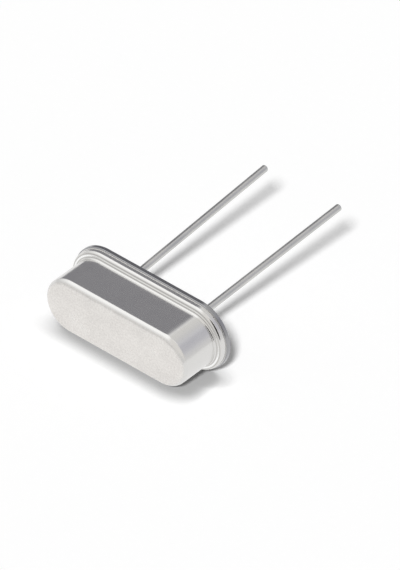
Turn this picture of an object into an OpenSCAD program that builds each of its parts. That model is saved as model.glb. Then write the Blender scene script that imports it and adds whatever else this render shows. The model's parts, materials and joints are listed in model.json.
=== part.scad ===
// Quartz crystal unit in a low metal can with two wire leads.
//
// Each piece is drawn standing up, as it sits on a circuit board: the seating plane is z = 0,
// the can rises along +Z and the leads run down. lie_down() then lays the whole unit on its side,
// resting on the edge of the can's closed end and on the edge of the base flange.
// Most pieces share one stadium outline: a straight spine with a half circle at each end.

/* [Can] */
// Length over the can's walls
can_len = 10.15; // [9.4:0.05:11.5]
// Thickness over the can's flat walls
can_thk = 3.5; // [3.3:0.05:4.4]
// Height of the closed end over the seating plane
total_h = 3.4; // [3.2:0.05:4.5]
// Thickness of the drawn sheet
wall = 0.2; // [0.12:0.01:0.25]
// Inside bend radius round the closed end
top_bend = 0.12; // [0.04:0.01:0.3]
// Outside bend radius where the wall turns out into the lip
mouth_bend = 0.14; // [0.08:0.01:0.25]
// Flat of the lip between its two bends
lip_flat = 0.02; // [0.02:0.01:0.2]
// Inside bend radius where the lip turns down to the base
lip_bend = 0.01; // [0.01:0.01:0.1]
// Height of the lip over the base flange
lip_h = 0.42; // [0.36:0.01:0.6]

/* [Base plate] */
// Thickness of the stamped sheet
base_t = 0.3; // [0.2:0.01:0.4]
// How far the base flange shows past the can's lip
base_margin = 0.09; // [0.06:0.01:0.2]
// Rounding of the base flange's outer edges
base_edge = 0.06; // [0.02:0.01:0.1]
// Height of the pressed pan over the seating plane
pan_h = 0.9; // [0.75:0.01:1]
// Clearance between the pan and the can's inside
pan_gap = 0.08; // [0.03:0.01:0.2]
// Inside bend radius round the pan's top
pan_bend = 0.1; // [0.05:0.01:0.2]
// Bend radius where the pan rises from the flange, on the can's side
root_bend = 0.12; // [0.05:0.01:0.2]
// Wall of the drawn eyelets
eyelet_wall = 0.15; // [0.1:0.01:0.25]
// How far the eyelets stop above the seating plane
eyelet_lift = 0.12; // [0.05:0.01:0.2]

/* [Glass beads] */
// Diameter of the glass, which fills its eyelet
glass_d = 1.3; // [1:0.05:1.6]
// How far the glass creeps along the lead
meniscus = 0.12; // [0.05:0.01:0.15]

/* [Leads] */
// Spacing of the leads at the seating plane
lead_pitch = 4.88; // [4.5:0.01:5.1]
// Diameter of the wire
lead_d = 0.43; // [0.35:0.01:0.5]
// Length of the leads below the seating plane, along the wire
lead_len = 13.3; // [8:0.1:15]
// How far the inner ends stand above the pan
lead_stub = 0.2; // [0.16:0.01:0.3]
// Bend of the left lead, in degrees
bend_left = 3.2; // [0:0.1:6]
// Way the left lead is bent: 0 outwards, 90 towards the upper flat
bend_left_way = 20; // [0:5:180]
// Bend of the right lead, in degrees
bend_right = 1.6; // [0:0.1:6]
// Way the right lead is bent: 0 outwards, 90 towards the upper flat
bend_right_way = 120; // [0:5:180]
// Straight wire between the seating plane and the bend
lead_straight = 0.5; // [0.1:0.1:2]
// Rounding of the cut tips
tip_round = 0.06; // [0.02:0.01:0.12]

/* [Clips] */
// Thickness of the spring strip
clip_t = 0.1; // [0.06:0.01:0.14]
// Width of the spring strip
clip_w = 1.2; // [0.9:0.05:1.5]
// Inside bend radius between foot and upright
clip_bend = 0.12; // [0.05:0.01:0.2]
// How far the foot reaches past the lead's centre
clip_heel = 0.4; // [0.25:0.05:0.6]
// Clearance between the blank and the sides of its slot
slot_gap = 0.03; // [0.01:0.01:0.08]
// How far the slot's floor lies above the foot
slot_floor = 0.15; // [0.08:0.01:0.25]
// How far the uprights stop short of the blank's top edge
upright_drop = 0.35; // [0.1:0.05:0.6]

/* [Quartz blank] */
// Thickness of the quartz strip
blank_t = 0.2; // [0.1:0.01:0.3]
// Free room between the blank's top edge and the can
lid_gap = 0.18; // [0.1:0.01:0.4]
// Free room between each end of the blank and the can
end_gap = 0.85; // [0.6:0.05:1.2]
// Bevel along the blank's long edges
blank_bevel = 0.03; // [0.01:0.01:0.04]
// How far the blank's ends pass through the clips
blank_overhang = 0.12; // [0.06:0.01:0.2]

/* [Electrodes] */
// Thickness of the silver film
film_t = 0.02; // [0.01:0.01:0.03]
// Length of the electrode
film_len = 3.6; // [2.4:0.1:4.4]
// Bare border above and below the electrode
film_border = 0.2; // [0.1:0.05:0.4]
// Width of the tab that runs to the clip
tab_w = 0.6; // [0.3:0.05:0.9]

/* [Conductive adhesive] */
// Radius of the dots over the blank's ends
dot_r = 0.42; // [0.36:0.02:0.5]
// How far the dots stand off the clips
dot_h = 0.26; // [0.22:0.01:0.35]

/* [Hidden] */
$fn = 96;
LEFT = -1;
RIGHT = 1;
// Overlap that keeps cuts and joins off shared faces
lap = 0.5;

// Stadium outline: the spine is its straight stretch, and each radius is measured out from it
spine = can_len - can_thk;
can_r = can_thk / 2;
lip_edge = lip_bend + wall;
lip_r = can_r + mouth_bend + lip_flat + lip_edge;
base_r = lip_r + base_margin;
pan_r = can_r - wall - pan_gap;

// Heights over the seating plane
lip_top = base_t + lip_h;
lip_under = lip_top - wall;
can_roof = total_h - wall;
lead_top = pan_h + lead_stub;
foot_top = lead_top + clip_t;
blank_foot = foot_top + slot_floor;
blank_head = can_roof - lid_gap;
blank_w = blank_head - blank_foot;
blank_mid = (blank_head + blank_foot) / 2;

// Lengths along the spine
blank_len = can_len - 2 * (wall + end_gap);
upright_x = blank_len / 2 - blank_overhang;
glass_r = glass_d / 2;
lead_r = lead_d / 2;
slot_w = blank_t + 2 * (film_t + slot_gap);

// Lying down: the floor touches two rounded edges, the can's closed end and the base flange or the lip.
// Each is a circle [distance out, height, radius], and the steeper common tangent is the floor.
top_edge = [can_r - top_bend - wall, total_h - top_bend - wall, top_bend + wall];
base_rim = [base_r - base_edge, base_t - base_edge, base_edge];
can_rim = [lip_r - lip_edge, lip_top - lip_edge, lip_edge];
function tangent_tilt(rim) =
    let (out = rim[0] - top_edge[0], drop = top_edge[1] - rim[1])
    atan2(out, drop) - asin((top_edge[2] - rim[2]) / norm([out, drop]));
rest_tilt = max(tangent_tilt(base_rim), tangent_tilt(can_rim));
rest_h = top_edge[0] * cos(rest_tilt) + top_edge[1] * sin(rest_tilt) + top_edge[2];
// Straight run of a lead past its bend, and how far its tip lies below the seating plane
lead_run = lead_len - lead_straight;
tip_drop = lead_straight + lead_run * cos(min(bend_left, bend_right));

// Reach of the laid unit along Y, which puts the origin midway between its two ends
reach_back = top_edge[1] * cos(rest_tilt) + top_edge[0] * sin(rest_tilt) + top_edge[2];
reach_front = tip_drop * cos(rest_tilt) + lead_r * sin(rest_tilt);
mid_y = (reach_front - reach_back) / 2;

// Lays a standing piece down, closed end towards -Y and leads towards +Y
module lie_down()
    translate([0, -mid_y, rest_h])
        rotate([90 + rest_tilt, 0, 0])
            children();

// Rounds an outer corner when it is cut away: the corner is the origin, the body lies below and left
module corner_cut(r)
    translate([-r, -r])
        difference() {
            square(r + lap);
            circle(r = r);
        }

// Fills an inner corner with a concave fillet: the corner is the origin, open up and right
module corner_fill(r)
    difference() {
        translate([-r, -r]) square(2 * r);
        translate([r, r]) circle(r = r);
    }

// Runs a half section round the stadium: x is the distance out from the spine, y is the height
module round_stadium() {
    rotate([90, 0, 90])
        linear_extrude(height = spine, center = true) {
            children();
            mirror([1, 0]) children();
        }
    for (side = [LEFT, RIGHT])
        translate([side * spine / 2, 0, 0])
            rotate([0, 0, -90 * side])
                rotate_extrude(angle = 180)
                    children();
}

// A solid block's half section between two heights, with its upper corner rounded
module block_section(radius, head, edge, foot)
    difference() {
        translate([0, foot]) square([radius, head - foot]);
        translate([radius, head]) corner_cut(edge);
    }

// A solid cup's half section: closed end up, and a fillet at its mouth
module cup_section(radius, head, edge, foot, fillet) {
    block_section(radius, head, edge, foot);
    intersection() {
        translate([radius, foot]) corner_fill(fillet);
        translate([0, foot]) square([radius + fillet, fillet]);
    }
}

// One sheet from the closed end to the lip, which turns out and then down to stand on the base
module can_section()
    difference() {
        union() {
            cup_section(can_r, total_h, top_bend + wall, lip_top, mouth_bend);
            block_section(lip_r, lip_top, lip_edge, base_t);
        }
        cup_section(can_r - wall, can_roof, top_bend, lip_under, mouth_bend + wall);
        block_section(lip_r - wall, lip_under, lip_bend, base_t);
    }

module base_section()
    difference() {
        union() {
            cup_section(pan_r, pan_h, pan_bend + base_t, base_t, root_bend);
            difference() {
                square([base_r, base_t]);
                translate([base_r, base_t]) corner_cut(base_edge);
                translate([base_r, 0]) mirror([0, 1]) corner_cut(base_edge);
            }
        }
        cup_section(pan_r - base_t, pan_h - base_t, pan_bend, 0, root_bend + base_t);
    }

module can()
    color("lightgray")
        lie_down()
            round_stadium() can_section();

module base_plate()
    color("silver")
        lie_down()
            difference() {
                union() {
                    round_stadium() base_section();
                    for (side = [LEFT, RIGHT])
                        translate([side * lead_pitch / 2, 0, eyelet_lift])
                            cylinder(r = glass_r + eyelet_wall, h = pan_h - eyelet_lift - base_t / 2);
                }
                for (side = [LEFT, RIGHT])
                    translate([side * lead_pitch / 2, 0, -lap])
                        cylinder(r = glass_r, h = pan_h + 2 * lap);
            }

// Glass fills the eyelet from end to end and creeps a little way along the wire at each end
module glass_bead(side)
    color([0.25, 0.33, 0.3])
        lie_down()
            translate([side * lead_pitch / 2, 0, 0])
                rotate_extrude()
                    difference() {
                        union() {
                            translate([0, eyelet_lift]) square([glass_r, pan_h - eyelet_lift]);
                            translate([lead_r, pan_h]) corner_fill(meniscus);
                            translate([lead_r, eyelet_lift]) mirror([0, 1]) corner_fill(meniscus);
                        }
                        translate([-lap, -lap]) square([lead_r + lap, pan_h + 2 * lap]);
                    }

// Wire from the clip down through the glass and on to a cut tip, in two runs that meet in a mitre
module lead(side, bend, way)
    color("gainsboro")
        lie_down()
            translate([side * lead_pitch / 2, 0, -lead_straight])
                mirror([side == LEFT ? 1 : 0, 0, 0])
                    rotate([0, 0, way]) {
                        difference() {
                            translate([0, 0, -lap])
                                cylinder(r = lead_r, h = lead_top + lead_straight + lap);
                            mitre_block(bend, -1);
                        }
                        difference() {
                            rotate([0, -bend, 0])
                                translate([0, 0, -lead_run])
                                    rotate_extrude() tip_section();
                            mitre_block(bend, 1);
                        }
                    }

// Block that covers everything above or below the plane that halves the bend
module mitre_block(bend, above)
    rotate([0, -bend / 2, 0])
        translate([0, 0, above * lap])
            cube(2 * lap, center = true);

module tip_section()
    difference() {
        square([lead_r, lead_run + lap]);
        translate([lead_r, 0]) mirror([0, 1]) corner_cut(tip_round);
    }

// Spring strip: its foot is welded on the lead's end, its slotted upright holds the blank
module clip(side)
    color("darkgray")
        lie_down()
            mirror([side == LEFT ? 1 : 0, 0, 0])
                difference() {
                    rotate([90, 0, 0])
                        linear_extrude(height = clip_w, center = true)
                            clip_section();
                    translate([upright_x - clip_t - lap, -slot_w / 2, blank_foot])
                        cube([clip_t + 2 * lap, slot_w, blank_w]);
                }

module clip_section() {
    heel_x = lead_pitch / 2 - clip_heel;
    upright_h = blank_head - upright_drop - lead_top;
    difference() {
        translate([heel_x, lead_top]) square([upright_x - heel_x, upright_h]);
        translate([upright_x, lead_top]) mirror([0, 1]) corner_cut(clip_bend + clip_t);
        difference() {
            translate([heel_x - lap, foot_top])
                square([upright_x - clip_t - heel_x + lap, upright_h + lap]);
            translate([upright_x - clip_t, foot_top]) mirror([0, 1]) corner_cut(clip_bend);
        }
    }
}

// Quartz strip on its long edge, with bevelled long edges
module blank_shape() {
    half_t = blank_t / 2;
    half_w = blank_w / 2;
    flat_t = half_t - blank_bevel;
    flat_w = half_w - blank_bevel;
    translate([0, 0, blank_mid])
        rotate([90, 0, 90])
            linear_extrude(height = blank_len, center = true)
                polygon([
                    [flat_t, half_w], [-flat_t, half_w], [-half_t, flat_w], [-half_t, -flat_w],
                    [-flat_t, -half_w], [flat_t, -half_w], [half_t, -flat_w], [half_t, flat_w]
                ]);
}

module quartz_blank()
    color([0.85, 0.88, 0.9, 0.6])
        lie_down()
            blank_shape();

// Silver film: a patch in the middle of one face and a tab that runs to one clip
module film_shape(face, side) {
    film_w = blank_w - 2 * film_border;
    translate([0, face * (blank_t + film_t) / 2, blank_mid]) {
        cube([film_len, film_t, film_w], center = true);
        translate([side * blank_len / 4, 0, 0])
            cube([blank_len / 2, film_t, tab_w], center = true);
    }
}

module electrode(face, side)
    color("white")
        lie_down()
            film_shape(face, side);

// Dome of epoxy on the clip's outer side, over the blank's end and its film
module adhesive(side)
    color("gray")
        lie_down()
            difference() {
                translate([side * upright_x, 0, blank_mid])
                    rotate([0, 90 * side, 0])
                        rotate_extrude() dome_section();
                blank_shape();
                film_shape(side, side);
            }

module dome_section() {
    dome_r = (pow(dot_r, 2) + pow(dot_h, 2)) / (2 * dot_h);
    intersection() {
        translate([0, dot_h - dome_r]) circle(r = dome_r);
        square([dot_r, dot_h]);
    }
}

can();
base_plate();
glass_bead(LEFT);  // glass_bead_left
glass_bead(RIGHT);  // glass_bead_right
lead(LEFT, bend_left, bend_left_way);  // lead_left
lead(RIGHT, bend_right, bend_right_way);  // lead_right
clip(LEFT);  // clip_left
clip(RIGHT);  // clip_right
quartz_blank();
electrode(-1, LEFT);  // electrode_front
electrode(1, RIGHT);  // electrode_back
adhesive(LEFT);  // adhesive_left
adhesive(RIGHT);  // adhesive_right
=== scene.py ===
import json
import math

import bmesh
import bpy
from mathutils import Matrix, Vector


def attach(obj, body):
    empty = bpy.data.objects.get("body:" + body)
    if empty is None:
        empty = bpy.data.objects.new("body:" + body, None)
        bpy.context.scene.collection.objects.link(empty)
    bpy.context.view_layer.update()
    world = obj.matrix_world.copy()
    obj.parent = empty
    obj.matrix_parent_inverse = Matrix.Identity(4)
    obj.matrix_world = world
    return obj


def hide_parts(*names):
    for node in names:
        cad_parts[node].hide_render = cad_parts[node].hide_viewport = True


# Looks of a quartz crystal unit: a low can with rounded ends, welded to its base flange, on two wire leads.
# Sizes are in millimetres and in the standing frame: the seating plane is height 0, the can rises
# from it and the leads run down. STANDING lays each point down where the frame has it.

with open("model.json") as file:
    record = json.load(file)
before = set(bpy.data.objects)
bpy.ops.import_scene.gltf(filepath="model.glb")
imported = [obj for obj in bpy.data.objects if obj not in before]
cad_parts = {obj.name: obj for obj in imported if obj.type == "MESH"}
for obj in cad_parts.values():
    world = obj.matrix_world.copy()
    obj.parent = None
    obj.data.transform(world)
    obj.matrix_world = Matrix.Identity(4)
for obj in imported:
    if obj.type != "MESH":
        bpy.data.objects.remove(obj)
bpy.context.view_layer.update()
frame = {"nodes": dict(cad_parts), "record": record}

MM = 0.001
LEFT = -1
RIGHT = 1

# Can
CAN_LEN = 10.15
CAN_THK = 3.5
TOTAL_H = 3.4
WALL = 0.2
TOP_BEND = 0.12
MOUTH_BEND = 0.14
LIP_FLAT = 0.02
LIP_BEND = 0.01
LIP_H = 0.42
# Base plate
BASE_T = 0.3
BASE_MARGIN = 0.09
BASE_EDGE = 0.06
PAN_H = 0.9
PAN_GAP = 0.08
PAN_BEND = 0.1
ROOT_BEND = 0.12
EYELET_WALL = 0.15
EYELET_LIFT = 0.12
EYELET_ROOT = 0.08
# Glass beads
GLASS_D = 1.3
MENISCUS = 0.12
# Leads
LEAD_PITCH = 4.88
LEAD_D = 0.43
LEAD_LEN = 13.3
LEAD_STUB = 0.2
LEAD_STRAIGHT = 0.5
TIP_ROUND = 0.06
BEND_REACH = 0.3
# Each lead's bend in degrees and its way: 0 is outwards, 90 is towards the upper flat
LEAD_BENDS = {LEFT: (3.2, 20), RIGHT: (1.6, 120)}
# Rounding that takes the burr off a cut edge
BURR = 0.015

SPINE = CAN_LEN - CAN_THK
CAN_R = CAN_THK / 2
TOP_EDGE = TOP_BEND + WALL
LIP_EDGE = LIP_BEND + WALL
LIP_R = CAN_R + MOUTH_BEND + LIP_FLAT + LIP_EDGE
LIP_TOP = BASE_T + LIP_H
BASE_R = LIP_R + BASE_MARGIN
PAN_R = CAN_R - WALL - PAN_GAP
LEAD_TOP = PAN_H + LEAD_STUB
GLASS_R = GLASS_D / 2
LEAD_R = LEAD_D / 2

# Steps of the meshes: round the can's end, round a wire or a bead, and along bends from large to small
END_STEPS = 64
ROUND_STEPS = 48
EDGE_STEPS = 10
CREEP_STEPS = 8
RIM_STEPS = 6
BURR_STEPS = 3
# A square's corners, by its two half sides
SQUARE = ((-1, -1), (1, -1), (1, 1), (-1, 1))


# ---------------------------------------------------------------- place and mesh tools

def standing_place():
    """The standing frame's matrix in the row frame, from the record's seat mount."""
    seat = next(m for m in frame["record"]["mounts"] if m["name"] == "seat")
    down = Vector(seat["axis"])
    up = -down
    across = Vector((0, up.z, -up.y))
    # The seat mount lies in the middle of the flat ring round the pan's recess
    ring = (PAN_R + ROOT_BEND + BASE_R - BASE_EDGE) / 2
    origin = Vector(seat["pos_m"]) - across * ring * MM
    place = Matrix((Vector((1, 0, 0)), across, up)).transposed().to_4x4()
    place.translation = origin
    return place


STANDING = standing_place()


def arc(centre, radius, start, end, steps=EDGE_STEPS, hollow=False):
    """Section points (out, height, normal out, normal up) on an arc; a hollow arc faces its own centre."""
    facing = -1 if hollow else 1
    points = []
    for i in range(steps + 1):
        a = math.radians(start + (end - start) * i / steps)
        out, up = math.cos(a), math.sin(a)
        points.append((centre[0] + radius * out, centre[1] + radius * up, facing * out, facing * up))
    return points


class Skin:
    """A mesh under construction: vertices with their own normals, and bands of faces between rings."""

    def __init__(self):
        self.bm = bmesh.new()
        self.drawn = []
        self.normals = []

    def ring(self, places):
        """Adds one closed ring from (point, normal) pairs in the standing frame."""
        ring = []
        for point, normal in places:
            ring.append(self.bm.verts.new(STANDING @ (Vector(point) * MM)))
            self.drawn += tuple(point)
            self.normals.append((STANDING.to_3x3() @ Vector(normal)).normalized())
        return ring

    def bands(self, rings):
        """Joins each ring to the next."""
        for one, two in zip(rings, rings[1:]):
            for i in range(len(one)):
                self.bm.faces.new((one[i - 1], one[i], two[i], two[i - 1]))

    def lid(self, ring):
        """Closes a ring that mirrors about its first vertex with strips of quads."""
        last = len(ring) // 2
        for i in range(last):
            corners = (ring[i], ring[i + 1], ring[-i - 1], ring[-i])
            self.bm.faces.new(tuple(dict.fromkeys(corners)))

    def pierced_lid(self, rings):
        """Closes an outline with holes in it."""
        edges = []
        for ring in rings:
            edges += [self.bm.edges.get((ring[i - 1], ring[i])) for i in range(len(ring))]
        bmesh.ops.triangle_fill(self.bm, use_beauty=True, edges=edges)

    def piece(self, name, node, slot, material):
        """Turns the skin into a piece that stands for a CAD node, and keeps the places it was drawn at."""
        bmesh.ops.recalc_face_normals(self.bm, faces=self.bm.faces)
        mesh = bpy.data.meshes.new(name)
        self.bm.to_mesh(mesh)
        self.bm.free()
        mesh.shade_smooth()
        mesh.normals_split_custom_set_from_vertices(self.normals)
        mesh.attributes.new("drawn_at", "FLOAT_VECTOR", "POINT").data.foreach_set("vector", self.drawn)
        mesh.materials.append(material)
        piece = bpy.data.objects.new(name, mesh)
        bpy.context.scene.collection.objects.link(piece)
        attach(piece, "root")
        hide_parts(node)
        return piece


def stadium_ring(out, height, normal_out, normal_up):
    """Ring round the stadium at one distance out from the spine, starting at the right end's tip."""
    places = []
    for side, first in ((RIGHT, 0), (LEFT, 90), (RIGHT, -90)):
        steps = END_STEPS if side == LEFT else END_STEPS // 2
        for i in range(steps + 1):
            a = math.radians(first + 180 * i / END_STEPS)
            x, y = math.cos(a), math.sin(a)
            point = (side * SPINE / 2 + out * x, out * y, height)
            places.append((point, (normal_out * x, normal_out * y, normal_up)))
    # The last place is the tip again
    return places[:-1]


def round_ring(centre_x, radius, height, normal_out, normal_up):
    """Ring round an upright axis."""
    places = []
    for i in range(ROUND_STEPS):
        a = 2 * math.pi * i / ROUND_STEPS
        x, y = math.cos(a), math.sin(a)
        point = (centre_x + radius * x, radius * y, height)
        places.append((point, (normal_out * x, normal_out * y, normal_up)))
    return places


# ---------------------------------------------------------------- pieces

def can_section():
    """From the closed end's outside, over the edge, down to the mouth, out and down round the lip to
    its foot on the base, and back up the inside."""
    turn_out = (CAN_R + MOUTH_BEND, LIP_TOP + MOUTH_BEND)
    lip_inside = LIP_R - WALL
    under = LIP_TOP - WALL
    roof = TOTAL_H - WALL
    return (
        arc((CAN_R - TOP_EDGE, TOTAL_H - TOP_EDGE), TOP_EDGE, 90, 0)
        + arc(turn_out, MOUTH_BEND, 180, 270, hollow=True)
        + arc((LIP_R - LIP_EDGE, LIP_TOP - LIP_EDGE), LIP_EDGE, 90, 0)
        + arc((LIP_R - BURR, BASE_T + BURR), BURR, 0, -90, steps=BURR_STEPS)
        + arc((lip_inside + BURR, BASE_T + BURR), BURR, 270, 180, steps=BURR_STEPS)
        + arc((lip_inside - LIP_BEND, under - LIP_BEND), LIP_BEND, 0, 90, steps=BURR_STEPS, hollow=True)
        + arc(turn_out, MOUTH_BEND + WALL, 270, 180)
        + arc((CAN_R - WALL - TOP_BEND, roof - TOP_BEND), TOP_BEND, 0, 90, hollow=True)
    )


def build_can(material):
    """The drawn cover: its section led round the stadium, closed inside and out at the end."""
    skin = Skin()
    rings = [skin.ring(stadium_ring(*point)) for point in can_section()]
    skin.bands(rings)
    skin.lid(rings[0])
    skin.lid(rings[-1])
    return skin.piece("drawn_can", "can", "plated_can", material)


def base_section():
    """From the pan's top, down its wall, round the flange and back up inside the recess."""
    bend = (PAN_R + ROOT_BEND, BASE_T + ROOT_BEND)
    edge = PAN_BEND + BASE_T
    recess = PAN_H - BASE_T
    return (
        arc((PAN_R - edge, PAN_H - edge), edge, 90, 0)
        + arc(bend, ROOT_BEND, 180, 270, hollow=True)
        + arc((BASE_R - BASE_EDGE, BASE_T - BASE_EDGE), BASE_EDGE, 90, 0)
        + arc((BASE_R - BASE_EDGE, BASE_EDGE), BASE_EDGE, 0, -90)
        + arc(bend, ROOT_BEND + BASE_T, 270, 180)
        + arc((PAN_R - BASE_T - PAN_BEND, recess - PAN_BEND), PAN_BEND, 0, 90, hollow=True)
    )


def eyelet_section():
    """From the recess's ceiling down the eyelet's outside, round its rim and up its bore."""
    outer = GLASS_R + EYELET_WALL
    ceiling = PAN_H - BASE_T
    rim = EYELET_WALL / 2 - BURR
    root = (outer + EYELET_ROOT, ceiling - EYELET_ROOT)
    return (
        arc(root, EYELET_ROOT, 90, 180, steps=RIM_STEPS, hollow=True)
        + arc((outer - rim, EYELET_LIFT + rim), rim, 0, -90, steps=RIM_STEPS)
        + arc((GLASS_R + BURR, EYELET_LIFT + BURR), BURR, 270, 180, steps=BURR_STEPS)
        + arc((GLASS_R + BURR, PAN_H - BURR), BURR, 180, 90, steps=BURR_STEPS)
    )


def build_base(material):
    """The stamped header: flange, pan and both eyelets from one sheet."""
    skin = Skin()
    rings = [skin.ring(stadium_ring(*point)) for point in base_section()]
    skin.bands(rings)
    tops = [rings[0]]
    undersides = [rings[-1]]
    for side in (LEFT, RIGHT):
        centre_x = side * LEAD_PITCH / 2
        eyelet = [skin.ring(round_ring(centre_x, *point)) for point in eyelet_section()]
        skin.bands(eyelet)
        undersides.append(eyelet[0])
        tops.append(eyelet[-1])
    skin.pierced_lid(tops)
    skin.pierced_lid(undersides)
    return skin.piece("stamped_base", "base_plate", "plated_base", material)


def bead_section():
    """Round the glass: up the bore, over the top, in along the upper meniscus and out below."""
    creep = LEAD_R + MENISCUS
    return (
        arc((creep, EYELET_LIFT - MENISCUS), MENISCUS, 180, 90, steps=CREEP_STEPS, hollow=True)
        + arc((GLASS_R - BURR, EYELET_LIFT + BURR), BURR, -90, 0, steps=BURR_STEPS)
        + arc((GLASS_R - BURR, PAN_H - BURR), BURR, 0, 90, steps=BURR_STEPS)
        + arc((creep, PAN_H + MENISCUS), MENISCUS, 270, 180, steps=CREEP_STEPS, hollow=True)
    )


def build_bead(side, name, node, material):
    """The glass that fills one eyelet round its wire."""
    skin = Skin()
    rings = [skin.ring(round_ring(side * LEAD_PITCH / 2, *point)) for point in bead_section()]
    skin.bands(rings + rings[:1])
    return skin.piece(name, node, "seal_glass", material)


def lead_axis(side):
    """Stations along the wire: (point, direction), from the clip's end to the tip, with a soft bend."""
    bend, way = (math.radians(v) for v in LEAD_BENDS[side])
    down = Vector((0, 0, -1))
    run = Vector((side * math.sin(bend) * math.cos(way), math.sin(bend) * math.sin(way), -math.cos(bend)))
    corner = Vector((side * LEAD_PITCH / 2, 0, -LEAD_STRAIGHT))
    before = corner - down * BEND_REACH
    after = corner + run * BEND_REACH
    stations = [(Vector((corner.x, 0, LEAD_TOP)), down)]
    for i in range(EDGE_STEPS + 1):
        t = i / EDGE_STEPS
        point = before.lerp(corner, t).lerp(corner.lerp(after, t), t)
        stations.append((point, down.lerp(run, t).normalized()))
    stations.append((corner + run * (LEAD_LEN - LEAD_STRAIGHT), run))
    return stations


def wire_ring(point, direction, radius, normal_out, normal_along):
    """Ring round the wire's axis."""
    one = Vector((1, 0, 0)).cross(direction).normalized()
    two = direction.cross(one)
    places = []
    for i in range(ROUND_STEPS):
        a = 2 * math.pi * i / ROUND_STEPS
        outward = one * math.cos(a) + two * math.sin(a)
        places.append((point + outward * radius, outward * normal_out + direction * normal_along))
    return places


def build_lead(side, name, node, material):
    """One wire from its end at the clip, through its bend, to its rounded tip."""
    skin = Skin()
    stations = lead_axis(side)
    rings = []
    # Inner end: a small rounding, then the wire, then the rounded tip
    point, direction = stations[0]
    for out, along, n_out, n_along in arc((LEAD_R - BURR, BURR), BURR, 270, 360, steps=BURR_STEPS):
        rings.append(skin.ring(wire_ring(point + direction * along, direction, out, n_out, n_along)))
    for point, direction in stations[1:-1]:
        rings.append(skin.ring(wire_ring(point, direction, LEAD_R, 1, 0)))
    point, direction = stations[-1]
    tip = arc((LEAD_R - TIP_ROUND, -TIP_ROUND), TIP_ROUND, 0, 90, steps=RIM_STEPS)
    for out, along, n_out, n_along in tip:
        rings.append(skin.ring(wire_ring(point + direction * along, direction, out, n_out, n_along)))
    skin.bands(rings)
    skin.lid(rings[0])
    skin.lid(rings[-1])
    return skin.piece(name, node, "tinned_wire", material)


# ---------------------------------------------------------------- material tools

def paint(code):
    """An sRGB hex colour as linear RGBA."""
    values = [int(code[i:i + 2], 16) / 255 for i in (1, 3, 5)]
    return [v / 12.92 if v <= 0.04045 else ((v + 0.055) / 1.055) ** 2.4 for v in values] + [1]


def scaled_paint(code, level):
    """A colour times a level of light."""
    return [v * level for v in paint(code)[:3]] + [1]


def add(tree, kind, *values, **named):
    """Adds a node. Plain values go to its sockets in order; a name with a capital is a socket, and one in
    small letters is a setting. A node given as a value stands for its first output."""
    made = tree.nodes.new(kind)
    for key, value in named.items():
        if key.islower():
            setattr(made, key, value)
    fed = list(zip((socket for socket in made.inputs if socket.enabled), values))
    sockets = {key: value for key, value in named.items() if not key.islower()}
    fed += [(made.inputs[key.replace("_", " ")], value) for key, value in sockets.items()]
    for socket, value in fed:
        if isinstance(value, bpy.types.Node):
            value = next(output for output in value.outputs if output.enabled)
        if isinstance(value, bpy.types.NodeSocket):
            tree.links.new(value, socket)
        else:
            socket.default_value = value
    return made


def start_material(name, drawn=False):
    """An empty material: itself, its tree and its places in millimetres.
    Built pieces give the place they were drawn at, and CAD nodes the place in the row frame."""
    material = bpy.data.materials.new(name)
    material.use_nodes = True
    tree = material.node_tree
    tree.nodes.clear()
    if drawn:
        return material, tree, add(tree, "ShaderNodeAttribute", attribute_name="drawn_at").outputs["Vector"]
    place = add(tree, "ShaderNodeTexCoord").outputs["Object"]
    return material, tree, add(tree, "ShaderNodeVectorMath", place, 1 / MM, operation="SCALE")


def inside(tree, value, start, end, soft):
    """1 between start and end, falling to 0 over a soft edge outside them."""
    smooth = {"interpolation_type": "SMOOTHSTEP"}
    rising = add(tree, "ShaderNodeMapRange", value, start - soft, start + soft, **smooth)
    falling = add(tree, "ShaderNodeMapRange", value, end + soft, end - soft, **smooth)
    return add(tree, "ShaderNodeMath", rising, falling, operation="MULTIPLY")


def distance_out(tree, mm):
    """Distance out from the spine that the can's rounded ends turn about."""
    axes = add(tree, "ShaderNodeSeparateXYZ", mm).outputs
    past = add(tree, "ShaderNodeMath", axes["X"], operation="ABSOLUTE")
    past = add(tree, "ShaderNodeMath", past, SPINE / 2, operation="SUBTRACT")
    past = add(tree, "ShaderNodeMath", past, 0, operation="MAXIMUM")
    place = add(tree, "ShaderNodeCombineXYZ", past, axes["Y"])
    return add(tree, "ShaderNodeVectorMath", place, operation="LENGTH").outputs["Value"]


# ---------------------------------------------------------------- materials

# A noise texture's values mostly lie in this range
NOISE = (0.3, 0.7)
# Painted reflections on the plate, each with its soft edge: a duller, darker band painted below and above
# the lip's crest in place of its dark reflection lines, and a painted highlight line in it
PAINTED_BAND_BELOW = 0.045
PAINTED_BAND_ABOVE = 0.035
PAINTED_BAND_SOFT = 0.008
PAINTED_HIGHLIGHT_BELOW = 0.008
PAINTED_HIGHLIGHT_ABOVE = 0.003
PAINTED_HIGHLIGHT_SOFT = 0.003
# The weld's line round the lip's foot: into the base and up the lip, in under the lip and out on the flange
WELD_DOWN = 0.01
WELD_UP = 0.03
WELD_IN = 0.03
WELD_OUT = 0.02
WELD_SOFT = 0.01
WELD_ROUGH = 0.55


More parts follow.
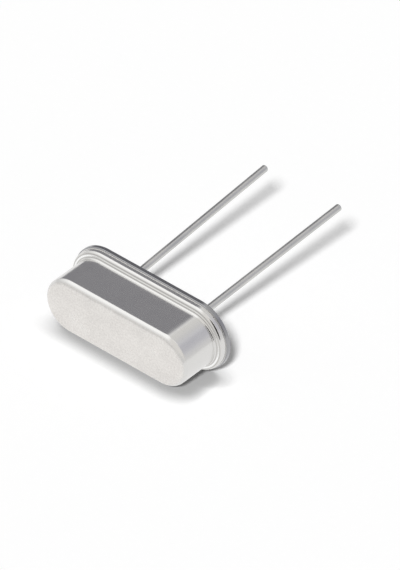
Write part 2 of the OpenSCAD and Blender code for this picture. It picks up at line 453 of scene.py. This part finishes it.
def nickel_plated_steel(name, wall, dull, bright, polished, satin):
    """Nickel plate on drawn steel: mirror-like walls with faint draw lines, and a satin closed end that
    the press left with a fine frost of duller and brighter grains in soft cloudy patches. The flange's
    outer edge is darker, the lip's crest has a painted darker band with a painted highlight line in it,
    and the weld at the lip's foot is a pale matt line."""
    material, tree, mm = start_material(name, drawn=True)
    height = add(tree, "ShaderNodeSeparateXYZ", mm).outputs["Z"]
    end = add(
        tree, "ShaderNodeMapRange", height, TOTAL_H - TOP_EDGE / 3, TOTAL_H,
        interpolation_type="SMOOTHSTEP",
    )
    # Cloudy patches are 1.4 mm wide. The sheet's grain is near 0.03 mm, drawn at 0.11 mm so that it shows.
    cloud = add(tree, "ShaderNodeTexNoise", mm, Scale=1 / 1.4, Detail=3)
    grain = add(tree, "ShaderNodeTexNoise", mm, Scale=1 / 0.11, Detail=3)
    grainy = add(tree, "ShaderNodeMapRange", grain, *NOISE, 0, 0.7)
    cloudy = add(tree, "ShaderNodeMapRange", cloud, *NOISE, 0, 0.3)
    frost = add(tree, "ShaderNodeMath", grainy, cloudy, operation="ADD")
    frosted = add(tree, "ShaderNodeMix", frost, paint(dull), paint(bright), data_type="RGBA")
    drift = add(tree, "ShaderNodeMapRange", cloud, *NOISE, -0.1, 0.1)
    tint = add(tree, "ShaderNodeMath", end, drift, operation="ADD")
    plate = add(tree, "ShaderNodeMix", tint, paint(wall), frosted, data_type="RGBA")
    # A duller, darker band is painted along the lip's crest in place of its dark reflection lines, with a
    # painted highlight line in it
    painted_dark_band = inside(tree, height, LIP_TOP - PAINTED_BAND_BELOW, LIP_TOP + PAINTED_BAND_ABOVE, PAINTED_BAND_SOFT)
    colour = add(tree, "ShaderNodeMix", painted_dark_band, plate, paint("#CBC9C6"), data_type="RGBA")
    # Painted highlight: a near-white line on the lip's crest
    painted_highlight_line = inside(tree, height, LIP_TOP - PAINTED_HIGHLIGHT_BELOW, LIP_TOP + PAINTED_HIGHLIGHT_ABOVE, PAINTED_HIGHLIGHT_SOFT)
    colour = add(tree, "ShaderNodeMix", painted_highlight_line, colour, paint("#FDFDFC"), data_type="RGBA")
    out = distance_out(tree, mm)
    # Darker towards the flange's outer edge
    darker_outer_edge = add(tree, "ShaderNodeMapRange", out, BASE_R - BASE_EDGE, BASE_R - BASE_EDGE / 2)
    colour = add(tree, "ShaderNodeMix", darker_outer_edge, colour, paint("#A4A4A6"), data_type="RGBA")
    weld_h = inside(tree, height, BASE_T - WELD_DOWN, BASE_T + WELD_UP, WELD_SOFT)
    weld_out = inside(tree, out, LIP_R - WELD_IN, LIP_R + WELD_OUT, WELD_SOFT)
    weld = add(tree, "ShaderNodeMath", weld_h, weld_out, operation="MULTIPLY")
    colour = add(tree, "ShaderNodeMix", weld, colour, paint("#F6F5F3"), data_type="RGBA")
    # Handling leaves smudges 0.6 mm wide on the wall's polish and on the end's satin
    smudge = add(tree, "ShaderNodeTexNoise", mm, Scale=1 / 0.6, Detail=2)
    polish = add(tree, "ShaderNodeMapRange", smudge, *NOISE, polished - 0.01, polished + 0.01)
    sheen = add(tree, "ShaderNodeMapRange", smudge, *NOISE, satin - 0.03, satin + 0.03)
    rough = add(tree, "ShaderNodeMix", end, polish, sheen, data_type="FLOAT")
    rough = add(tree, "ShaderNodeMix", weld, rough, WELD_ROUGH, data_type="FLOAT")
    # Draw lines run from the closed end to the mouth, 0.02 mm apart; they are drawn 0.1 mm apart to show,
    # and shallow beside the end's grain
    along = add(tree, "ShaderNodeVectorMath", mm, (1, 1, 60), operation="DIVIDE")
    drawn = add(tree, "ShaderNodeTexNoise", along, Scale=1 / 0.1, Detail=1)
    lines = add(tree, "ShaderNodeMapRange", drawn, 0, 1, 0.42, 0.58)
    relief = add(tree, "ShaderNodeMix", end, lines, grain, data_type="FLOAT")
    bump = add(tree, "ShaderNodeBump", Strength=0.5, Distance=0.0012 * MM, Height=relief)
    metal = add(
        tree, "ShaderNodeBsdfPrincipled",
        Base_Color=colour, Metallic=1, Roughness=rough, Normal=bump,
    )
    add(tree, "ShaderNodeOutputMaterial", metal)
    return material


def tinned_wire():
    """Tin dipped on drawn wire: bright, a little wavy where the tin ran, with faint lengthwise lines."""
    material, tree, mm = start_material("tinned_wire", drawn=True)
    # The tin ran in waves 0.5 mm wide and three times as long; the die's lines are 0.04 mm apart
    flow = add(tree, "ShaderNodeVectorMath", mm, (1, 1, 3), operation="DIVIDE")
    runs = add(tree, "ShaderNodeTexNoise", flow, Scale=1 / 0.5, Detail=2)
    tint = add(tree, "ShaderNodeMapRange", runs, *NOISE)
    colour = add(tree, "ShaderNodeMix", tint, paint("#C6C6C5"), paint("#D6D5D2"), data_type="RGBA")
    rough = add(tree, "ShaderNodeMapRange", runs, *NOISE, 0.2, 0.3)
    along = add(tree, "ShaderNodeVectorMath", mm, (1, 1, 40), operation="DIVIDE")
    lines = add(tree, "ShaderNodeTexNoise", along, Scale=1 / 0.04, Detail=1)
    relief = add(tree, "ShaderNodeMath", lines, runs, operation="ADD")
    bump = add(tree, "ShaderNodeBump", Strength=0.4, Distance=0.002 * MM, Height=relief)
    metal = add(
        tree, "ShaderNodeBsdfPrincipled",
        Base_Color=colour, Metallic=1, Roughness=rough, Normal=bump,
    )
    add(tree, "ShaderNodeOutputMaterial", metal)
    return material


def seal_glass():
    """Sintered sealing glass: dark grey-green, glossy, with fine bubbles under the skin."""
    material, tree, mm = start_material("seal_glass", drawn=True)
    # Bubbles are 0.09 mm apart
    bubbles = add(tree, "ShaderNodeTexVoronoi", mm, Scale=1 / 0.09)
    dots = add(tree, "ShaderNodeMapRange", bubbles, 0.05, 0.3, 1, 0, interpolation_type="SMOOTHSTEP")
    colour = add(tree, "ShaderNodeMix", dots, paint("#2B3532"), paint("#4D5955"), data_type="RGBA")
    haze = add(tree, "ShaderNodeTexNoise", mm, Scale=1 / 0.3, Detail=2)
    rough = add(tree, "ShaderNodeMapRange", haze, *NOISE, 0.08, 0.2)
    bump = add(tree, "ShaderNodeBump", Strength=0.2, Distance=0.003 * MM, Height=dots)
    glass = add(
        tree, "ShaderNodeBsdfPrincipled",
        Base_Color=colour, IOR=1.52, Coat_Weight=0.3, Roughness=rough, Normal=bump,
    )
    add(tree, "ShaderNodeOutputMaterial", glass)
    return material


def spring_strip():
    """Rolled nickel-silver strip: grey-yellow metal with fine rolling lines along the strip."""
    material, tree, mm = start_material("spring_strip")
    # Rolling lines are 0.03 mm apart
    along = add(tree, "ShaderNodeVectorMath", mm, (30, 1, 1), operation="DIVIDE")
    rolled = add(tree, "ShaderNodeTexNoise", along, Scale=1 / 0.03, Detail=2)
    colour = add(tree, "ShaderNodeMix", rolled, paint("#B9B5A8"), paint("#D2CEC2"), data_type="RGBA")
    rough = add(tree, "ShaderNodeMapRange", rolled, *NOISE, 0.2, 0.34)
    bump = add(tree, "ShaderNodeBump", Strength=0.3, Distance=0.001 * MM, Height=rolled)
    metal = add(
        tree, "ShaderNodeBsdfPrincipled",
        Base_Color=colour, Metallic=1, Roughness=rough, Normal=bump,
    )
    add(tree, "ShaderNodeOutputMaterial", metal)
    return material


def lapped_quartz():
    """Lapped and etched quartz: clear crystal with a faint frost of etch pits."""
    material, tree, mm = start_material("lapped_quartz")
    # Etch pits are some microns wide, drawn 0.05 mm apart so that they show
    pits = add(tree, "ShaderNodeTexVoronoi", mm, Scale=1 / 0.05)
    colour = add(tree, "ShaderNodeMix", pits, paint("#EAF0F2"), paint("#F8FBFB"), data_type="RGBA")
    rough = add(tree, "ShaderNodeMapRange", pits, 0, 0.6, 0.25, 0.1)
    bump = add(tree, "ShaderNodeBump", Strength=0.2, Distance=0.001 * MM, Height=pits)
    crystal = add(
        tree, "ShaderNodeBsdfPrincipled",
        Base_Color=colour, IOR=1.544, Transmission_Weight=0.85, Roughness=rough, Normal=bump,
    )
    add(tree, "ShaderNodeOutputMaterial", crystal)
    return material


def evaporated_silver():
    """Evaporated silver film: near-white metal that copies the lapped quartz beneath it."""
    material, tree, mm = start_material("evaporated_silver")
    # Haze in patches of 0.4 mm, and the blank's grain under the film, drawn at 0.04 mm so that it shows
    haze = add(tree, "ShaderNodeTexNoise", mm, Scale=1 / 0.4, Detail=3)
    colour = add(tree, "ShaderNodeMix", haze, paint("#E9E7E1"), paint("#F5F3EE"), data_type="RGBA")
    rough = add(tree, "ShaderNodeMapRange", haze, *NOISE, 0.12, 0.22)
    grain = add(tree, "ShaderNodeTexNoise", mm, Scale=1 / 0.04, Detail=1)
    bump = add(tree, "ShaderNodeBump", Strength=0.2, Distance=0.001 * MM, Height=grain)
    metal = add(
        tree, "ShaderNodeBsdfPrincipled",
        Base_Color=colour, Metallic=1, Roughness=rough, Normal=bump,
    )
    add(tree, "ShaderNodeOutputMaterial", metal)
    return material


def silver_filled_epoxy():
    """Cured epoxy full of silver flake: matt warm grey with glinting specks."""
    material, tree, mm = start_material("silver_filled_epoxy")
    # Flakes are some microns wide, drawn 0.03 mm apart so that they show
    flakes = add(tree, "ShaderNodeTexVoronoi", mm, Scale=1 / 0.03)
    glint = add(tree, "ShaderNodeMapRange", flakes, 0.15, 0.4, 1, 0, interpolation_type="SMOOTHSTEP")
    colour = add(tree, "ShaderNodeMix", glint, paint("#8F8C86"), paint("#C9C6C0"), data_type="RGBA")
    rough = add(tree, "ShaderNodeMapRange", glint, 0, 1, 0.6, 0.35)
    bump = add(tree, "ShaderNodeBump", Strength=0.5, Distance=0.004 * MM, Height=glint)
    paste = add(
        tree, "ShaderNodeBsdfPrincipled",
        Base_Color=colour, Metallic=glint, Roughness=rough, Normal=bump,
    )
    add(tree, "ShaderNodeOutputMaterial", paste)
    return material


# ---------------------------------------------------------------- the part

can_finish = nickel_plated_steel("nickel_plated_can", "#E0DFDD", "#DCD8D4", "#F6F3EF", 0.19, 0.3)
base_finish = nickel_plated_steel("nickel_plated_base", "#B6B6B8", "#B4B1AD", "#C6C3BF", 0.2, 0.3)
wire_finish = tinned_wire()
glass_finish = seal_glass()

build_can(can_finish)
build_base(base_finish)
for side, word in ((LEFT, "left"), (RIGHT, "right")):
    build_bead(side, "seal_" + word, "glass_bead_" + word, glass_finish)
    build_lead(side, "wire_" + word, "lead_" + word, wire_finish)

# The pieces sealed inside keep their CAD shapes
INNER_FINISHES = (
    (spring_strip(), ("clip_left", "clip_right")),
    (lapped_quartz(), ("quartz_blank",)),
    (evaporated_silver(), ("electrode_front", "electrode_back")),
    (silver_filled_epoxy(), ("adhesive_left", "adhesive_right")),
)
for finish, nodes in INNER_FINISHES:
    for node in nodes:
        frame["nodes"][node].data.materials.clear()
        frame["nodes"][node].data.materials.append(finish)


# ---------------------------------------------------------------- floor, card, light and camera

FLOOR_HALF = 1500
# The floor's level in the metal: near the part, and in the gloom in front of it, from one depth to another
FLOOR_NEAR = 0.95
FLOOR_GLOOM = 0.76
GLOOM_FROM = -11
GLOOM_TO = -16
# The room's light on what isn't metal, and the share of the floor's white that only the eye sees
ROOM_LEVEL = 0.15
FLOOR_GLOW = 0.16
# Soft shadow that the part throws on the sheet close by: its reach, its darkest level, the open share of
# the room at which it gets that dark, and its fineness
SHADE_REACH = 1.3
SHADE_LEVEL = 0.42
SHADE_FULL = 0.5
SHADE_SAMPLES = 12
# It gathers where the part stands in this direction, so it falls to the right and a little in front
SHADE_LEAN = (-0.66, 0.16, 0.73)
# The sun that draws the leads' shadows: its power, the direction it comes from, and its width in degrees
SUN_POWER = 3.9
SUN_FROM = Vector((0.363, -0.711, 0.602))
SUN_WIDTH = 7.5
# What the metal sees: the room brightens between two rises, from one level to another, and panels stand
# in it. Each panel gives its name, the turns where it starts and ends, their soft edge, the rises where it
# starts and ends, their soft edge, its level and its tint. Turns run from +X towards +Y, in degrees.
ROOM_GRADIENT = (6, 52, 0.78, 1.24)
PANELS = (
    ("ceiling, back", 45, 116, 12, 50, 100, 8, 0.80, "#FFFEFC"),
    ("front right", -96, 30, 14, 8, 100, 14, 0.88, "#FFFDFA"),
    ("grey wall, right", 20, 76, 22, 14, 56, 16, 0.64, "#F6F6FF"),
    ("dark screen, back", 68, 125, 12, -20, 50, 6, 0.20, "#F0F0FF"),
    ("dark screen, back left", 116, 153, 5, -6, 58, 4, 0.28, "#F8F7FF"),
)
# A square dark card that only the metal sees, clear of the part beside its right end: half its side, its
# middle, the ways its sides run, and how far from its middle it starts to fade and is gone
CARD_HALF = 4.2
CARD_MIDDLE = Vector((9.9, -6.2, 6.0))
CARD_LEVEL_SIDE = Vector((0.9784, 0.2066, 0)) * CARD_HALF
CARD_STEEP_SIDE = Vector((0.0512, -0.2426, -0.9688)) * CARD_HALF
CARD_FADE = (3.4, CARD_HALF)


def seen_in_metal(tree):
    """1 for what the eye sees mirrored or refracted, and 0 for light that a matt surface gathers."""
    path = add(tree, "ShaderNodeLightPath").outputs
    glossy, refracted = path["Is Glossy Ray"], path["Is Transmission Ray"]
    mirrored = add(tree, "ShaderNodeMath", glossy, refracted, operation="MAXIMUM")
    # Below a half means that no matt surface lies between
    direct = add(tree, "ShaderNodeMath", path["Diffuse Depth"], 0.5, operation="LESS_THAN")
    return add(tree, "ShaderNodeMath", mirrored, direct, operation="MULTIPLY")


def build_sheet(name, corners, material):
    """A flat four-cornered piece of the studio, in millimetres."""
    bm = bmesh.new()
    bm.faces.new([bm.verts.new(corner * MM) for corner in corners])
    mesh = bpy.data.meshes.new(name)
    bm.to_mesh(mesh)
    bm.free()
    mesh.materials.append(material)
    sheet = bpy.data.objects.new(name, mesh)
    bpy.context.scene.collection.objects.link(sheet)
    return sheet


def white_paper():
    """Matt white paper, which a glow lifts to a plain white while the shadows stay."""
    material, tree, mm = start_material("white_paper")
    # Fibre bundles are 0.4 mm wide
    fibre = add(tree, "ShaderNodeTexNoise", mm, Scale=1 / 0.4, Detail=2)
    paper = add(tree, "ShaderNodeMix", fibre, paint("#F7F7F7"), paint("#F9F9F9"), data_type="RGBA")
    lean = add(tree, "ShaderNodeCombineXYZ", *SHADE_LEAN)
    near = add(
        tree, "ShaderNodeAmbientOcclusion",
        Distance=SHADE_REACH * MM, Normal=lean, samples=SHADE_SAMPLES,
    )
    shade = add(tree, "ShaderNodeMapRange", near.outputs["AO"], SHADE_FULL, 1, SHADE_LEVEL, 1)
    shaded = add(tree, "ShaderNodeMix", 1, paper, shade, data_type="RGBA", blend_type="MULTIPLY")
    eye = add(tree, "ShaderNodeLightPath").outputs["Is Camera Ray"]
    glow = add(tree, "ShaderNodeMath", eye, FLOOR_GLOW, operation="MULTIPLY")
    lit = add(
        tree, "ShaderNodeBsdfPrincipled",
        Base_Color=shaded, Roughness=1, Specular_IOR_Level=0, Emission_Color=shaded, Emission_Strength=glow,
    )
    # Mirrored, it is a plain glow without the shadows, and darker out in front
    depth = add(tree, "ShaderNodeSeparateXYZ", mm).outputs["Y"]
    level = add(
        tree, "ShaderNodeMapRange", depth, GLOOM_TO, GLOOM_FROM, FLOOR_GLOOM, FLOOR_NEAR,
        interpolation_type="SMOOTHSTEP",
    )
    plain = add(tree, "ShaderNodeEmission", Strength=level)
    both = add(tree, "ShaderNodeMixShader", seen_in_metal(tree), lit, plain)
    add(tree, "ShaderNodeOutputMaterial", both)
    return material


def black_flock():
    """Flocked card: the nap swallows nearly all light; its edges are feathered away."""
    material, tree, mm = start_material("black_flock")
    # The nap stands in tufts of 0.3 mm
    nap = add(tree, "ShaderNodeTexNoise", mm, Scale=1 / 0.3, Detail=2)
    colour = add(tree, "ShaderNodeMix", nap, paint("#0A0A0A"), paint("#161616"), data_type="RGBA")
    flock = add(tree, "ShaderNodeBsdfPrincipled", Base_Color=colour, Roughness=1)
    apart = add(tree, "ShaderNodeVectorMath", mm, CARD_MIDDLE, operation="DISTANCE")
    gone = add(tree, "ShaderNodeMapRange", apart, *CARD_FADE, interpolation_type="SMOOTHSTEP")
    feathered = add(tree, "ShaderNodeMixShader", gone, flock, add(tree, "ShaderNodeBsdfTransparent"))
    add(tree, "ShaderNodeOutputMaterial", feathered)
    return material


def build_floor():
    """A sheet so wide that its edges lie far out of sight."""
    corners = [Vector((x * FLOOR_HALF, y * FLOOR_HALF, 0)) for x, y in SQUARE]
    build_sheet("floor", corners, white_paper())


def build_card():
    """Gives the lip its dark crescent; only mirror rays meet it."""
    corners = [CARD_MIDDLE + CARD_LEVEL_SIDE * a + CARD_STEEP_SIDE * b for a, b in SQUARE]
    card = build_sheet("card", corners, black_flock())
    for kind in ("camera", "diffuse", "transmission", "volume_scatter", "shadow"):
        setattr(card, "visible_" + kind, False)


def build_world():
    """A white room with panels that only show as reflections; it lights the part evenly."""
    world = bpy.data.worlds.new("studio")
    bpy.context.scene.world = world
    world.use_nodes = True
    world.cycles.sampling_method = "NONE"
    tree = world.node_tree
    tree.nodes.clear()
    way = add(tree, "ShaderNodeSeparateXYZ", add(tree, "ShaderNodeTexCoord").outputs["Generated"]).outputs
    rise = add(tree, "ShaderNodeMath", way["Z"], operation="ARCSINE")
    rise = add(tree, "ShaderNodeMath", rise, math.degrees(1), operation="MULTIPLY")
    turn = add(tree, "ShaderNodeMath", way["Y"], way["X"], operation="ARCTAN2")
    turn = add(tree, "ShaderNodeMath", turn, math.degrees(1), operation="MULTIPLY")
    shown = add(tree, "ShaderNodeMapRange", rise, *ROOM_GRADIENT)
    for name, left, right, side_soft, low, high, rise_soft, level, tint in PANELS:
        across = inside(tree, turn, left, right, side_soft)
        upright = inside(tree, rise, low, high, rise_soft)
        mask = add(tree, "ShaderNodeMath", across, upright, operation="MULTIPLY")
        shown = add(tree, "ShaderNodeMix", mask, shown, scaled_paint(tint, level), data_type="RGBA")
    room = scaled_paint("#FFFFFF", ROOM_LEVEL)
    seen = add(tree, "ShaderNodeMix", seen_in_metal(tree), room, shown, data_type="RGBA")
    eye = add(tree, "ShaderNodeLightPath").outputs["Is Camera Ray"]
    seen = add(tree, "ShaderNodeMix", eye, seen, paint("#FFFFFF"), data_type="RGBA")
    add(tree, "ShaderNodeOutputWorld", add(tree, "ShaderNodeBackground", seen))


def build_sun():
    """Soft sun that draws the shadows; reflections don't show it."""
    light = bpy.data.lights.new("sun", "SUN")
    light.energy = SUN_POWER
    light.angle = math.radians(SUN_WIDTH)
    sun = bpy.data.objects.new("sun", light)
    sun.rotation_euler = SUN_FROM.to_track_quat("Z", "Y").to_euler()
    sun.visible_glossy = False
    bpy.context.scene.collection.objects.link(sun)


# The eye: its direction from the part and its roll, in degrees, its distance, its lens and film, how near
# and how far it sees, and the point it looks at
EYE_TURN = 34.99
EYE_RISE = 31.77
EYE_ROLL = 8.81
EYE_DISTANCE = 557.5
EYE_LENS = 631.06
EYE_FILM = 36
EYE_NEAR = 10
EYE_FAR = 10000
EYE_TARGET = Vector((-0.743, 0.333, 1.128))


def build_camera():
    """A long lens that looks down on the closed end from the front and the right."""
    data = bpy.data.cameras.new("camera")
    data.sensor_width = EYE_FILM
    data.lens = EYE_LENS
    data.clip_start = EYE_NEAR * MM
    data.clip_end = EYE_FAR * MM
    camera = bpy.data.objects.new("camera", data)
    bpy.context.scene.collection.objects.link(camera)
    turn, rise = math.radians(EYE_TURN), math.radians(EYE_RISE)
    away = Vector((math.sin(turn) * math.cos(rise), -math.cos(turn) * math.cos(rise), math.sin(rise)))
    facing = away.to_track_quat("Z", "Y").to_matrix().to_4x4()
    roll = Matrix.Rotation(math.radians(EYE_ROLL), 4, "Z")
    camera.matrix_world = Matrix.Translation((EYE_TARGET + away * EYE_DISTANCE) * MM) @ facing @ roll
    bpy.context.scene.camera = camera


build_floor()
build_world()
build_card()
build_sun()
build_camera()
bpy.context.scene.view_settings.view_transform = "Standard"
